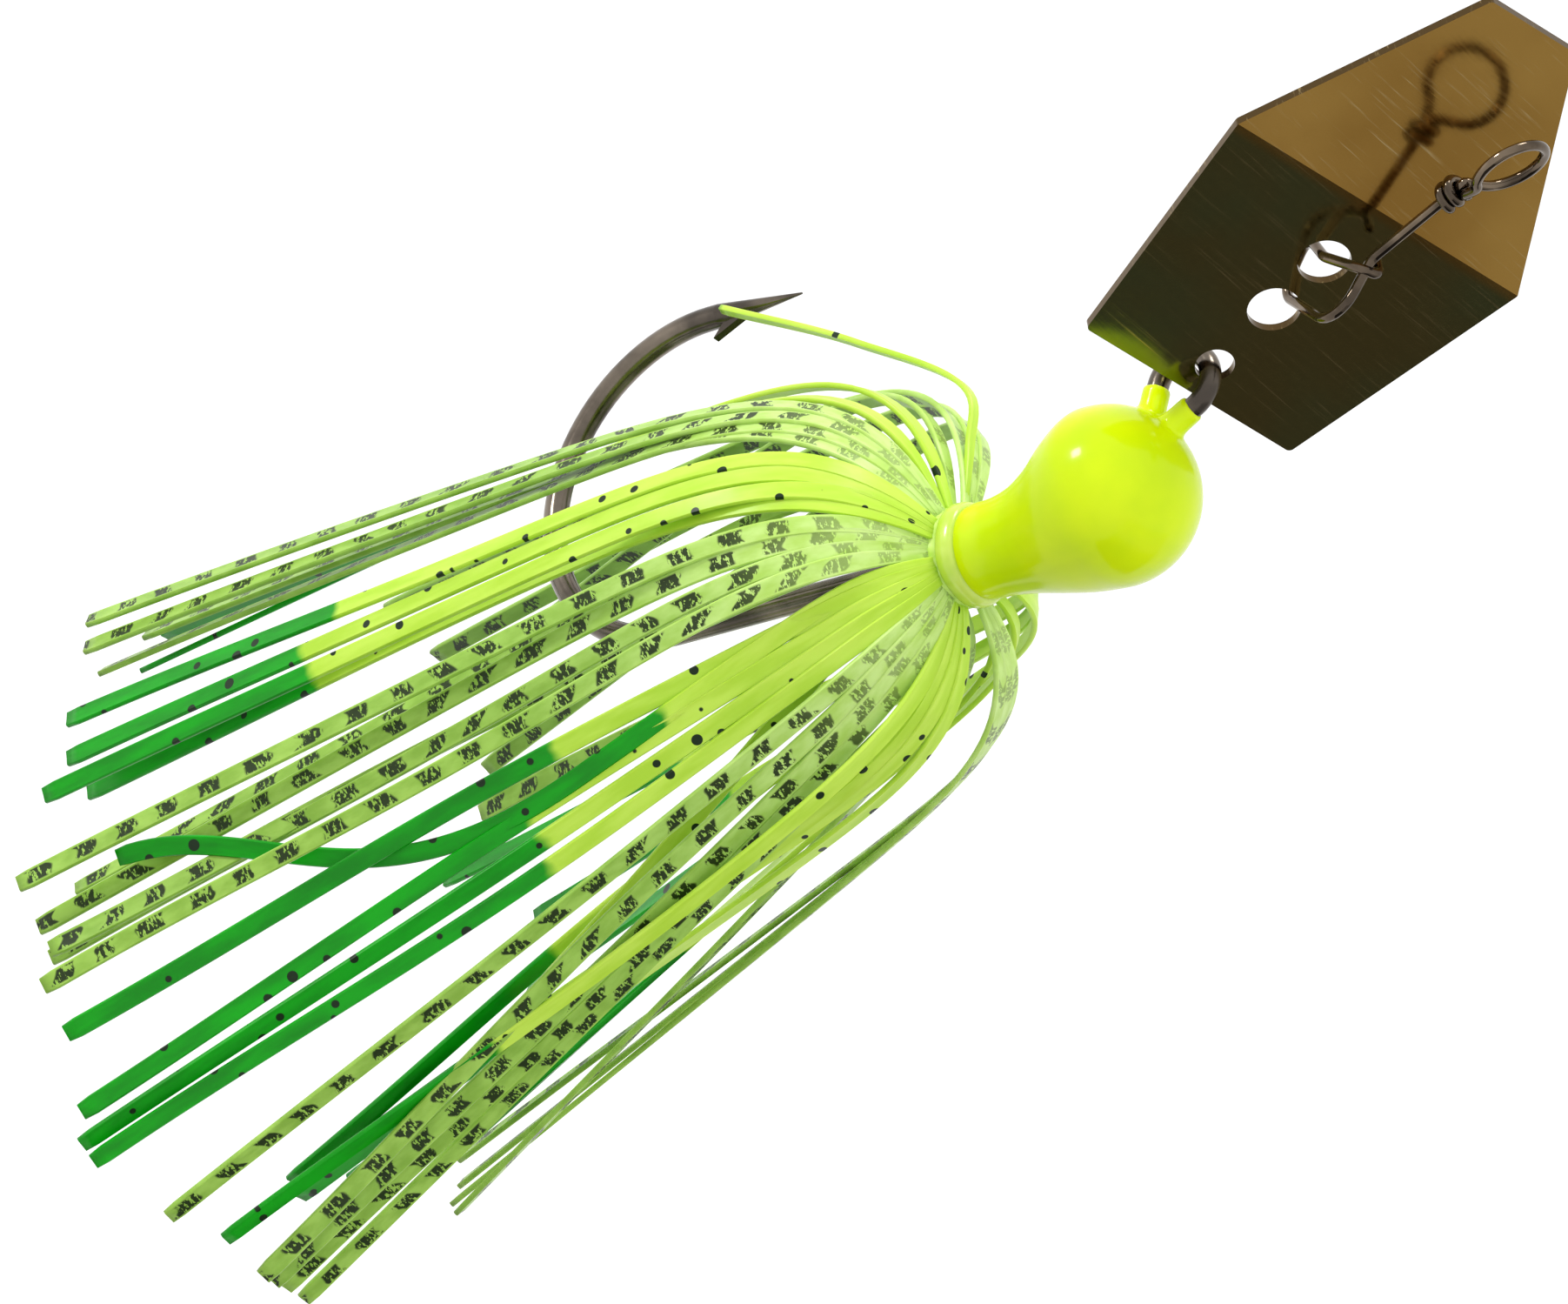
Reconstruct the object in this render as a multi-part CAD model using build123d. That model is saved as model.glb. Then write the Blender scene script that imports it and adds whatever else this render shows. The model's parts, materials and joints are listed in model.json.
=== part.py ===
from build123d import *
import os
from math import acos, cos, radians, sin, tan

# A bladed jig that hangs from its fishing line: a wire snap, a bent hexagonal blade, and a
# lead-headed hook that wears a silicone skirt. Millimetres, +Z up the line.
# The origin is the centre of the line-tie eye at the top of the snap.

# ---------------------------------------------------------------- driving dimensions
# Blade: a sheet bent once across its widest line, hung by the bridge between its snap holes
BLADE_THICK = 0.55
BLADE_FOOT_WIDTH = 15.7
BLADE_WIDE_WIDTH = 21.6
BLADE_TOP_WIDTH = 6.5
BLADE_LOWER = 16.25         # foot edge to bend line
BLADE_UPPER = 14.0          # bend line to top edge
BLADE_BEND = 10.8           # degrees, the upper part leans away from the snap
BLADE_CORNER = 0.35         # corner rounding
HOOK_HOLE_R = 1.15
HOOK_HOLE_UP = 2.3          # hole centre above the foot edge
SNAP_HOLE_R = 1.55
SNAP_HOLE_PITCH = 4.3       # between the two snap holes
BRIDGE_UP = 9.51            # middle of the metal between the snap holes, above the foot edge
BLADE_TURN = -9.65          # degrees the hanging blade is turned about the line
BLADE_ROLL = 8.74           # degrees it is rolled in its own plane
BLADE_LEAN = -1.68          # degrees it leans about its own width

# Snap: one spring wire. Points are (across, up, out) from the bridge of the blade
SNAP_WIRE = 0.63
EYE_R = 2.2                 # wire centre line
EYE_FROM_BRIDGE = (1.9, 15.1, 3.4)
EYE_FACES = (0.957, 0.291, 0.026)
WRAP_FROM_BRIDGE = (0.9, 11.64, 2.8)
WRAP_TURNS = 2
LATCH_TIP = (1.30, 4.80, 1.35)
SNAP_CORNERS = [
    # a corner of the route and the radius of the bend there
    ((1.40, 4.70, 3.05), 0.5),
    ((0.10, 4.50, 3.15), 1.2),
    ((-0.75, 2.80, 1.00), 1.0),
    ((-0.70, 1.95, -1.70), 1.3),
    ((0.50, -1.75, -1.05), 0.9),
    ((0.15, 1.75, 5.60), 1.7),
    ((0.70, 5.00, 2.35), 0.9),
    (WRAP_FROM_BRIDGE, 1.5),
]

# Hook: round-bend jig hook. Points are (forward, pointward) from the centre of the head ball
HOOK_WIRE = 1.46
HOOK_EYE_WIRE = 1.28
SHANK_TILT = 22.0           # degrees between the shank and the line
SHANK_OFFSET = -1.3         # shank axis below the ball centre
BEND_R = 10.3
BEND_AT = -31.4             # where the shank ends and the bend starts
POINT_TIP = -24.7
POINT_TAPER = 6.0
POINT_END_R = 0.06
BARB_ROOT = (-28.7, 18.85)
BARB_TIP = (-30.9, 17.75)
BARB_HEEL = (-30.2, 18.8)
BARB_THICK = 0.5
EYE_RING_R = 1.9            # wire centre line of the hook's own eye
EYE_RING_AT = (4.59, 6.11)
EYE_LEG_CROSSING = 4.6      # from the ring's centre to where its two legs would cross
EYE_STUB = 2.6              # length of the leg that ends inside the ball
EYE_BEND_AT = -0.4          # where the shank turns up to the eye, inside the ball
EYE_BEND_R = 2.4
EYE_LEG_BEND_R = 1.5
SEAT_PLAY = 0.1             # gap between the ring and the blade's hole

# Head: lead ball with an off-centre neck, and a seat for the skirt behind it
BALL_R = 5.3
NECK_STATIONS = [
    # (forward, pointward, radius)
    (-1.0, -0.1, 5.15),
    (-3.2, -0.8, 4.2),
    (-5.6, -1.3, 3.2),
    (-7.4, -1.4, 2.85),
    (-9.0, -1.4, 2.8),
]
SEAT_AXIS = -1.4            # axis of the neck's end, the seat, the band and the hub
SEAT_R = 1.9
SEAT_END = -14.0
KEEPER_R = 2.35
KEEPER_LENGTH = 1.2
PAINT_SLEEVE_R = 0.8
PAINT_SLEEVE_FROM, PAINT_SLEEVE_TO = 0.12, 2.2      # along each eye leg, from the ring

# Skirt: silicone strands held by a band round the seat
BAND_R = 3.2
BAND_FROM, BAND_TO = -9.05, -10.2
HUB_R = 5.2
HUB_TO = -12.2
HUB_EDGE = 0.7
STRAND_THICK = 0.45
STRAND_WIDTH = 0.75
STRAND_ROOT = 0.8           # straight start of a strand, mostly inside the hub
RIM_ROOT_R = 4.3            # where the outer strands start, out from the seat's axis
RIM_ROOT_UP = -0.2
RIM_STEP = 9.5              # degrees between neighbours on the rim
RIM_CURL_R = 5.0            # bend where an outer strand turns back over the band

# Outer strands leave the hub's rim. Each group is one silicone tab, slit into its strands:
# (print, number of strands, azimuth of the first, spread, end spread, length)
OUTER_TABS = [
    ("barred", 4, -160.0, 28, 10, 60.5),
    ("speckled", 4, -122.0, 26, 6, 59.5),
    ("barred", 4, -84.0, 27, 9, 61),
    ("speckled", 5, -46.0, 25, 7, 61.5),
    ("barred", 4, 1.5, 22, 0, 62),
    ("speckled", 4, 39.5, 18, 0, 61),
    ("barred", 3, 77.5, 22, 2, 61),
    ("speckled", 3, 106.0, 32, 12, 60),
    ("barred", 3, 134.5, 38, 20, 56),
]
INNER_PRINTS = ["speckled", "speckled", "barred", "barred"]
INNER_COUNT = 12
INNER_FIRST = -150.0
INNER_STEP = 300.0 / (INNER_COUNT - 1)
INNER_ROOT_R = 3.4
INNER_ROOT_UP = -0.6
INNER_CURL_R = 12.0
INNER_LAUNCH, INNER_SPREAD, INNER_END_SPREAD = 34, 16, 1
INNER_LENGTH = 61
LOOSE_AZIMUTH = -177.0      # one stray strand reaches across to the hook's point
LOOSE_ROOT = 4.5
LOOSE_CURL_R = 3.0
LOOSE_SPREAD, LOOSE_END_SPREAD = 56, 47
LOOSE_LENGTH = 26.9

# ---------------------------------------------------------------- frames
WIRE_SEAT_UP = HOOK_HOLE_UP - HOOK_HOLE_R + HOOK_EYE_WIRE / 2 + SEAT_PLAY


def blade_plane(origin):
    """Across, up and out of the blade's lower part, at a point on its middle surface."""
    across = Vector(0, 1, 0).rotate(Axis.Z, BLADE_TURN)
    out = Vector(1, 0, 0).rotate(Axis.Z, BLADE_TURN)
    across = across.rotate(Axis((0, 0, 0), out), BLADE_ROLL)
    out = out.rotate(Axis((0, 0, 0), across), BLADE_LEAN)
    return Plane(origin=origin, x_dir=across, z_dir=out)


bridge = Vector(0, 0, 0) - blade_plane((0, 0, 0)).from_local_coords(EYE_FROM_BRIDGE)
blade_frame = blade_plane(bridge)
ring_contact = blade_frame.from_local_coords((0, WIRE_SEAT_UP - BRIDGE_UP, 0))

tilt = radians(SHANK_TILT)
forward = Vector(sin(tilt), 0, cos(tilt))
pointward = Vector(-cos(tilt), 0, sin(tilt))
ring_centre = ring_contact - Vector(0, 0, EYE_RING_R)
ball_centre = ring_centre - forward * EYE_RING_AT[0] - pointward * EYE_RING_AT[1]
jig_frame = Plane(origin=ball_centre, x_dir=forward, z_dir=(0, -1, 0))


def on_jig(along, out):
    """A point of the hook's plane, forward and pointward of the ball centre."""
    return ball_centre + forward * along + pointward * out


collar_centre = on_jig((BAND_TO + HUB_TO) / 2, SEAT_AXIS)


def round_wire(path, diameter):
    """A round wire along a path of straight runs and arcs."""
    start = Plane(origin=path @ 0, z_dir=path % 0)
    return sweep(start * Circle(diameter / 2), path=path)


def along_shank(from_along, to_along, from_r, to_r, out=SEAT_AXIS):
    """A round bar or cone on an axis parallel to the shank."""
    near = Plane(origin=on_jig(from_along, out), z_dir=-forward)
    far = Plane(origin=on_jig(to_along, out), z_dir=-forward)
    return loft([near * Circle(from_r), far * Circle(to_r)])


# ---------------------------------------------------------------- blade
def make_blade():
    """The bent sheet: its outline seen square on, cut out of its side section, then the holes."""
    lean = radians(BLADE_BEND)
    top = BLADE_LOWER + BLADE_UPPER * cos(lean)
    outline = Polyline(
        (-BLADE_FOOT_WIDTH / 2, 0),
        (BLADE_FOOT_WIDTH / 2, 0),
        (BLADE_WIDE_WIDTH / 2, BLADE_LOWER),
        (BLADE_TOP_WIDTH / 2, top),
        (-BLADE_TOP_WIDTH / 2, top),
        (-BLADE_WIDE_WIDTH / 2, BLADE_LOWER),
        close=True,
    )
    face = make_face(outline)
    face = fillet(face.vertices(), BLADE_CORNER)
    foot = blade_frame.from_local_coords((0, -BRIDGE_UP, 0))
    foot_frame = blade_plane(foot)
    prism = extrude(foot_frame * face, amount=BLADE_UPPER, both=True)

    half = BLADE_THICK / 2
    spare = 1.0
    mitre = half * tan(lean / 2)
    drop = (top + spare - BLADE_LOWER) * tan(lean)
    thick_up = half / cos(lean)
    section = make_face(
        Polyline(
            (-spare, -half),
            (BLADE_LOWER - mitre, -half),
            (top + spare, -drop - thick_up),
            (top + spare, -drop + thick_up),
            (BLADE_LOWER + mitre, half),
            (-spare, half),
            close=True,
        )
    )
    side = Plane(origin=foot, x_dir=foot_frame.y_dir, z_dir=foot_frame.x_dir)
    blade = extrude(side * section, amount=BLADE_WIDE_WIDTH, both=True) & prism

    hole_spots = [
        (HOOK_HOLE_UP - BRIDGE_UP, HOOK_HOLE_R),
        (-SNAP_HOLE_PITCH / 2, SNAP_HOLE_R),
        (SNAP_HOLE_PITCH / 2, SNAP_HOLE_R),
    ]
    for up, radius in hole_spots:
        blade -= blade_frame * Pos(0, up, 0) * Cylinder(radius, 4 * BLADE_THICK)
    return blade


# ---------------------------------------------------------------- snap
def make_snap():
    """The wire from its latch tip, through both holes and up to the eye, with its two wraps."""
    corners = [blade_frame.from_local_coords(point) for point, _ in SNAP_CORNERS]
    radii = [radius for _, radius in SNAP_CORNERS]
    latch_tip = blade_frame.from_local_coords(LATCH_TIP)
    wrap = corners[-1]
    up_shank = (wrap - corners[-2]).normalized()
    eye = Vector(0, 0, 0)
    eye_foot = eye - (eye - wrap).normalized() * EYE_R
    route = FilletPolyline(latch_tip, *corners, eye_foot, radius=radii)
    snap = round_wire(route, SNAP_WIRE)
    snap += Plane(origin=eye, z_dir=EYE_FACES) * Torus(EYE_R, SNAP_WIRE / 2)
    for turn in range(WRAP_TURNS):
        along = (turn - (WRAP_TURNS - 1) / 2) * SNAP_WIRE
        coil = Plane(origin=wrap + up_shank * along, z_dir=up_shank)
        snap += coil * Torus(SNAP_WIRE, SNAP_WIRE / 2)
    return snap


# ---------------------------------------------------------------- hook
def hook_eye_points():
    """The eye in the hook's plane: where the shank turns, where the legs would cross, where the
    rear and the front leg leave the ring, the end of the front leg, and the ring's crown."""
    centre = Vector(*EYE_RING_AT)
    corner = Vector(EYE_BEND_AT, SHANK_OFFSET)
    down = (corner - centre).normalized()
    side = Vector(-down.Y, down.X)
    turn = acos(EYE_RING_R / EYE_LEG_CROSSING)
    crossing = centre + down * EYE_LEG_CROSSING
    to_tangent = down * (cos(turn) * EYE_RING_R)
    rear = centre + to_tangent - side * (sin(turn) * EYE_RING_R)
    front = centre + to_tangent + side * (sin(turn) * EYE_RING_R)
    stub = front + (crossing - front).normalized() * EYE_STUB
    crown = centre - down * EYE_RING_R
    return [on_jig(p.X, p.Y) for p in (corner, crossing, rear, front, stub, crown)]


def eye_leg_sleeves():
    """The painted stretches of the eye's two legs, from just below the ring down into the ball."""
    _, crossing, rear, front, _, _ = hook_eye_points()
    sleeves = []
    for leg_top in (rear, front):
        down_leg = (crossing - leg_top).normalized()
        sleeve_top = leg_top + down_leg * PAINT_SLEEVE_FROM
        sleeve_foot = leg_top + down_leg * PAINT_SLEEVE_TO
        sleeves.append(round_wire(Line(sleeve_top, sleeve_foot), 2 * PAINT_SLEEVE_R))
    return sleeves


def make_hook():
    corner, crossing, rear, front, stub, crown = hook_eye_points()
    shank_in = on_jig(EYE_BEND_AT - EYE_BEND_R - EYE_LEG_BEND_R, SHANK_OFFSET)
    neck = FilletPolyline(shank_in, corner, crossing, rear, radius=[EYE_BEND_R, EYE_LEG_BEND_R])
    hook = round_wire(neck, HOOK_EYE_WIRE)
    hook += round_wire(ThreePointArc(rear, crown, front), HOOK_EYE_WIRE)
    hook += round_wire(Line(front, stub), HOOK_EYE_WIRE)

    leg_out = SHANK_OFFSET + 2 * BEND_R
    taper_from = POINT_TIP - POINT_TAPER
    shank = Line(on_jig(EYE_BEND_AT - EYE_LEG_BEND_R, SHANK_OFFSET), on_jig(BEND_AT, SHANK_OFFSET))
    bend_middle = on_jig(BEND_AT - BEND_R, SHANK_OFFSET + BEND_R)
    bend = ThreePointArc(shank @ 1, bend_middle, on_jig(BEND_AT, leg_out))
    leg = Line(bend @ 1, on_jig(taper_from, leg_out))
    hook += round_wire(Wire([shank.edge(), bend.edge(), leg.edge()]), HOOK_WIRE)
    hook += along_shank(POINT_TIP, taper_from, POINT_END_R, HOOK_WIRE / 2, leg_out)
    barb_base = [(BARB_HEEL[0], leg_out), (BARB_ROOT[0], leg_out)]
    barb = make_face(Polyline(BARB_ROOT, BARB_TIP, BARB_HEEL, *barb_base, close=True))
    hook += extrude(jig_frame * barb, amount=BARB_THICK / 2, both=True)
    return hook


# ---------------------------------------------------------------- lead head
def make_head(hook):
    head = jig_frame * Sphere(BALL_R)
    sections = [Plane(origin=on_jig(a, b), z_dir=-forward) * Circle(r) for a, b, r in NECK_STATIONS]
    head += loft(sections)
    neck_end = NECK_STATIONS[-1][0]
    head += along_shank(neck_end + 0.5, SEAT_END, SEAT_R, SEAT_R)
    head += along_shank(SEAT_END + KEEPER_LENGTH, SEAT_END, SEAT_R, KEEPER_R)
    for sleeve in eye_leg_sleeves():
        head += sleeve
    return head - hook


# ---------------------------------------------------------------- skirt
def make_band():
    outer = along_shank(BAND_FROM, BAND_TO, BAND_R, BAND_R)
    return outer - along_shank(BAND_FROM, BAND_TO, SEAT_R, SEAT_R)


def make_hub():
    """The bunched roots of the strands, behind the band."""
    hub = along_shank(BAND_TO, HUB_TO, HUB_R, HUB_R)
    hub = fillet(hub.edges().filter_by(GeomType.CIRCLE), HUB_EDGE)
    return hub - along_shank(BAND_TO + 1, HUB_TO - 1, SEAT_R, SEAT_R)


def rim_launch(azimuth):
    """Degrees from straight down of a strand that leaves the tilted hub square to its axis."""
    return 90 - SHANK_TILT * cos(radians(azimuth))


def strand(azimuth, root, launch, curl_r, spread, end_spread, length, root_run=STRAND_ROOT):
    """One flat strand in an upright plane through the hub's centre. Angles are from straight down:
    it leaves at launch, curls round to spread, and eases to end_spread at its tip."""
    outward = Vector(cos(radians(azimuth)), sin(radians(azimuth)), 0)
    plane = Plane(origin=collar_centre, x_dir=outward, z_dir=(outward.Y, -outward.X, 0))
    root_r, root_up = root
    start = Vector(root_r, root_up - root_r * outward.X * tan(tilt))
    curl_length = curl_r * radians(launch - spread)
    ease_r = (length - root_run - curl_length) / radians(spread - end_spread)

    def heading(angle):
        return Vector(sin(radians(angle)), -cos(radians(angle)))

    def edge_of_strip(offset):
        """The strip's edge, offset to the outer (+) or inner (-) side of its centre line."""
        first = heading(launch)
        begin = start + Vector(-first.Y, first.X) * offset
        run = Line(begin, begin + first * root_run)
        curl = JernArc(run @ 1, first, curl_r + offset, spread - launch)
        ease = JernArc(curl @ 1, heading(spread), ease_r + offset, end_spread - spread)
        return [run, curl, ease]

    outer = edge_of_strip(STRAND_THICK / 2)
    inner = edge_of_strip(-STRAND_THICK / 2)
    ends = [Line(outer[0] @ 0, inner[0] @ 0), Line(outer[-1] @ 1, inner[-1] @ 1)]
    outline = Wire.combine([line.edge() for line in outer + inner + ends])[0]
    return extrude(plane * Face(outline), amount=STRAND_WIDTH / 2, both=True)


def make_strands(hub):
    """Every strand by its name."""
    made = {}
    count = {"barred": 0, "speckled": 0}

    def add(kind, shape):
        count[kind] += 1
        made[f"{kind}_strand_{count[kind]:02d}"] = shape - hub

    rim_root = (RIM_ROOT_R, RIM_ROOT_UP)
    for kind, number, first, spread, end_spread, length in OUTER_TABS:
        for i in range(number):
            azimuth = first + i * RIM_STEP
            launch = rim_launch(azimuth)
            add(kind, strand(azimuth, rim_root, launch, RIM_CURL_R, spread, end_spread, length))
    inner_root = (INNER_ROOT_R, INNER_ROOT_UP)
    for i in range(INNER_COUNT):
        azimuth = INNER_FIRST + i * INNER_STEP
        shape = strand(
            azimuth, inner_root, INNER_LAUNCH, INNER_CURL_R, INNER_SPREAD, INNER_END_SPREAD, INNER_LENGTH
        )
        add(INNER_PRINTS[i % len(INNER_PRINTS)], shape)
    loose = strand(
        LOOSE_AZIMUTH,
        rim_root,
        rim_launch(LOOSE_AZIMUTH),
        LOOSE_CURL_R,
        LOOSE_SPREAD,
        LOOSE_END_SPREAD,
        LOOSE_LENGTH,
        LOOSE_ROOT,
    )
    made["loose_strand"] = loose - hub
    return made


# ---------------------------------------------------------------- write
def main():
    hook = make_hook()
    hub = make_hub()
    parts = {
        "line_tie_snap": make_snap(),
        "blade": make_blade(),
        "hook": hook,
        "lead_head": make_head(hook),
        "skirt_band": make_band(),
        "skirt_hub": hub,
    }
    parts.update(make_strands(hub))
    os.makedirs("parts", exist_ok=True)
    for old in os.listdir("parts"):
        os.remove(os.path.join("parts", old))
    for name, shape in parts.items():
        shape.label = name
        export_step(shape, f"parts/{name}.step")
    print("bridge", bridge, "contact", ring_contact, "ball", ball_centre, "collar", collar_centre)


main()
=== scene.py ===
import json
import math
import random

import bmesh
import bpy
from mathutils import Matrix, Vector


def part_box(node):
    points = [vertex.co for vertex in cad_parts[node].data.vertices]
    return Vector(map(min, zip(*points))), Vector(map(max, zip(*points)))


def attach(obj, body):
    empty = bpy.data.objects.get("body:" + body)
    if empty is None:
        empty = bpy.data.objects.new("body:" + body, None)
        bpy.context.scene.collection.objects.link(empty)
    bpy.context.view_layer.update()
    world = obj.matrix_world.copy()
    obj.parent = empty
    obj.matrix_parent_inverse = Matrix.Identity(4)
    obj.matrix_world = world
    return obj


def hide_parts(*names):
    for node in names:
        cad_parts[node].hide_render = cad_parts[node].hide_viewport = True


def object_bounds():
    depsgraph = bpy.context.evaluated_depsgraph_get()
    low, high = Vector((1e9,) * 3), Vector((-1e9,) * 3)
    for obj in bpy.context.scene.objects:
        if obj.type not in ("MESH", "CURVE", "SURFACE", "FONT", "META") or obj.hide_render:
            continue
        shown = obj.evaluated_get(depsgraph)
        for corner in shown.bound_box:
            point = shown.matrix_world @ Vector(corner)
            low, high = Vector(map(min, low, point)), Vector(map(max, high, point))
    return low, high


# A bladed jig: snap, blade, lead-head hook and silicone skirt. The lengths named below are in
# millimetres unless a comment says otherwise, and are placed from the frame's joints and boxes.

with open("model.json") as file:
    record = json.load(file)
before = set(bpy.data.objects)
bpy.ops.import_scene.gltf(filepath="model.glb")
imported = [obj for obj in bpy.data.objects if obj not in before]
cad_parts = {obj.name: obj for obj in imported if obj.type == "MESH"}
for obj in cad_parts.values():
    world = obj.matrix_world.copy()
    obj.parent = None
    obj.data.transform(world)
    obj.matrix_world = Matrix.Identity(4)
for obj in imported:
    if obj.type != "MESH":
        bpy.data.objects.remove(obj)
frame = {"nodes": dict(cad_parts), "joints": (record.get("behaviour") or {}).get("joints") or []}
cad_low, cad_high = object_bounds()

MM = 0.001
rng = random.Random(7)

# ---------------------------------------------------------------- the frame's points and directions
joints = {joint["name"]: joint for joint in frame["joints"]}
bridge = Vector(joints["snap_swing"]["pos_m"])
contact = Vector(joints["blade_wobble"]["pos_m"])
blade_across = Vector(joints["snap_swing"]["axis"]).normalized()
blade_up = (bridge - contact).normalized()
blade_out = blade_across.cross(blade_up).normalized()

band_low, band_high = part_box("skirt_band")
hub_low, hub_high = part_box("skirt_hub")
collar = (hub_low + hub_high) / 2
forward = ((band_low + band_high) / 2 - collar).normalized()
side = Vector((0, 1, 0))
pointward = side.cross(forward).normalized() * -1
BALL_FROM_COLLAR = 11.2                 # along the shank's direction
SEAT_AXIS = -1.4                        # the seat's axis, pointward of the ball's centre
ball = collar + forward * BALL_FROM_COLLAR * MM - pointward * SEAT_AXIS * MM


def on_blade(across, up, out):
    """A point of the blade's frame, in millimetres from the bridge."""
    return bridge + (blade_across * across + blade_up * up + blade_out * out) * MM


def on_jig(along, out, aside=0.0):
    """A point of the hook's frame, in millimetres from the ball's centre."""
    return ball + (forward * along + pointward * out + side * aside) * MM


def off_collar(out, along, aside):
    """A point in millimetres from the middle of the skirt's hub."""
    return collar + (pointward * out + forward * along + side * aside) * MM


# ---------------------------------------------------------------- camera
VIEW_WIDTH = 0.08926                    # metres across the picture at the lure
CAMERA_FAR = 1.2                        # metres, so that the view is nearly parallel
CLIP_END = 50                           # metres
SENSOR_WIDTH = 36.0
TARGET_RIGHT, TARGET_UP = -18.24, -8.64  # from the ball's centre
view_right = Vector((0.2048, 0.6137, 0.7638)).normalized()
view_back = Vector((0.6348, -0.6778, 0.3737)).normalized()
view_up = view_back.cross(view_right).normalized()

target = ball + (view_right * TARGET_RIGHT + view_up * TARGET_UP) * MM
camera_data = bpy.data.cameras.new("camera")
camera_data.sensor_width = SENSOR_WIDTH
camera_data.lens = SENSOR_WIDTH * CAMERA_FAR / VIEW_WIDTH
camera_data.clip_end = CLIP_END
camera = bpy.data.objects.new("camera", camera_data)
camera.matrix_world = Matrix.Translation(target + view_back * CAMERA_FAR) @ Matrix(
    (view_right, view_up, view_back)
).transposed().to_4x4()
bpy.context.scene.collection.objects.link(camera)
bpy.context.scene.camera = camera
bpy.context.scene.view_settings.view_transform = "Standard"


# ---------------------------------------------------------------- mesh helpers
def new_object(name, bm):
    """The mesh as a smooth-shaded object of the scene."""
    mesh = bpy.data.meshes.new(name)
    bm.to_mesh(mesh)
    bm.free()
    mesh.shade_smooth()
    thing = bpy.data.objects.new(name, mesh)
    bpy.context.scene.collection.objects.link(thing)
    return thing


def spline(points, steps):
    """Centripetal Catmull-Rom through the points, with that many steps in each span."""
    ends = [points[0] * 2 - points[1]] + list(points) + [points[-1] * 2 - points[-2]]
    line = []
    for i in range(1, len(ends) - 2):
        p0, p1, p2, p3 = ends[i - 1:i + 3]
        t1 = (p1 - p0).length ** 0.5
        t2 = t1 + (p2 - p1).length ** 0.5
        t3 = t2 + (p3 - p2).length ** 0.5
        for k in range(steps):
            t = t1 + (t2 - t1) * k / steps
            a1 = p0 * ((t1 - t) / t1) + p1 * (t / t1)
            a2 = p1 * ((t2 - t) / (t2 - t1)) + p2 * ((t - t1) / (t2 - t1))
            a3 = p2 * ((t3 - t) / (t3 - t2)) + p3 * ((t - t2) / (t3 - t2))
            b1 = a1 * ((t2 - t) / t2) + a2 * (t / t2)
            b2 = a2 * ((t3 - t) / (t3 - t1)) + a3 * ((t - t1) / (t3 - t1))
            line.append(b1 * ((t2 - t) / (t2 - t1)) + b2 * ((t - t1) / (t2 - t1)))
    line.append(points[-1].copy())
    return line


def rounded(points, radii, steps=8):
    """A polyline with its inner corners rounded to those radii, in millimetres."""
    line = [points[0]]
    for i, radius in enumerate(radii, 1):
        before = (points[i - 1] - points[i]).normalized()
        after = (points[i + 1] - points[i]).normalized()
        half = before.angle(after) / 2
        reach = radius * MM / math.tan(half)
        middle = (before + after).normalized()
        centre = points[i] + middle * (radius * MM / math.sin(half))
        start = (points[i] + before * reach - centre).normalized()
        finish = (points[i] + after * reach - centre).normalized()
        for k in range(steps + 1):
            line.append(centre + start.slerp(finish, k / steps) * radius * MM)
    line.append(points[-1])
    return line


NEAR_END = 0.3                          # of a step: a last point this near the line's end will do


def spaced(line, step):
    """The same line with points about one step apart, in metres."""
    out = [line[0]]
    left = step
    for a, b in zip(line, line[1:]):
        span = (b - a).length
        at = 0.0
        while span - at > left:
            at += left
            out.append(a + (b - a) * (at / span))
            left = step
        left -= span - at
    if (out[-1] - line[-1]).length > step * NEAR_END:
        out.append(line[-1])
    return out


def tube(name, line, radius, sides):
    """A closed round tube along a line. radius is a function of the share of the line's points."""
    bm = bmesh.new()
    heading = (line[1] - line[0]).normalized()
    across = heading.orthogonal().normalized()
    rings = []
    total = len(line) - 1
    for i, point in enumerate(line):
        turned = (line[min(i + 1, total)] - line[max(i - 1, 0)]).normalized()
        across = heading.rotation_difference(turned) @ across
        heading = turned
        across = (across - heading * across.dot(heading)).normalized()
        other = heading.cross(across)
        size = radius(i / total)
        ring = []
        for k in range(sides):
            angle = 2 * math.pi * k / sides
            arm = (across * math.cos(angle) + other * math.sin(angle)) * size
            ring.append(bm.verts.new(point + arm))
        rings.append(ring)
    wall(bm, rings)
    for ring, point in ((rings[0], line[0]), (rings[-1], line[-1])):
        middle = bm.verts.new(point)
        for k in range(sides):
            bm.faces.new((middle, ring[k], ring[(k + 1) % sides]))
    bmesh.ops.recalc_face_normals(bm, faces=bm.faces)
    return new_object(name, bm)


def wall(bm, rings, sharp=()):
    """The faces between rings. sharp lists the corners whose edges along the wall stay sharp."""
    sides = len(rings[0])
    for a, b in zip(rings, rings[1:]):
        for k in range(sides):
            bm.faces.new((a[k], a[(k + 1) % sides], b[(k + 1) % sides], b[k]))
            if k in sharp:
                bm.edges.get((a[k], b[k])).smooth = False


def skin(name, bm, rings, sharp=()):
    """The rings as one closed object with flat ends."""
    wall(bm, rings, sharp)
    bm.faces.new(list(reversed(rings[0])))
    bm.faces.new(rings[-1])
    bmesh.ops.recalc_face_normals(bm, faces=bm.faces)
    return new_object(name, bm)


def joined(name, things):
    """The things as one object with that name."""
    with bpy.context.temp_override(
        active_object=things[0],
        object=things[0],
        selected_editable_objects=things,
        selected_objects=things,
    ):
        bpy.ops.object.join()
    things[0].name = name
    things[0].data.name = name
    return things[0]


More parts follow.
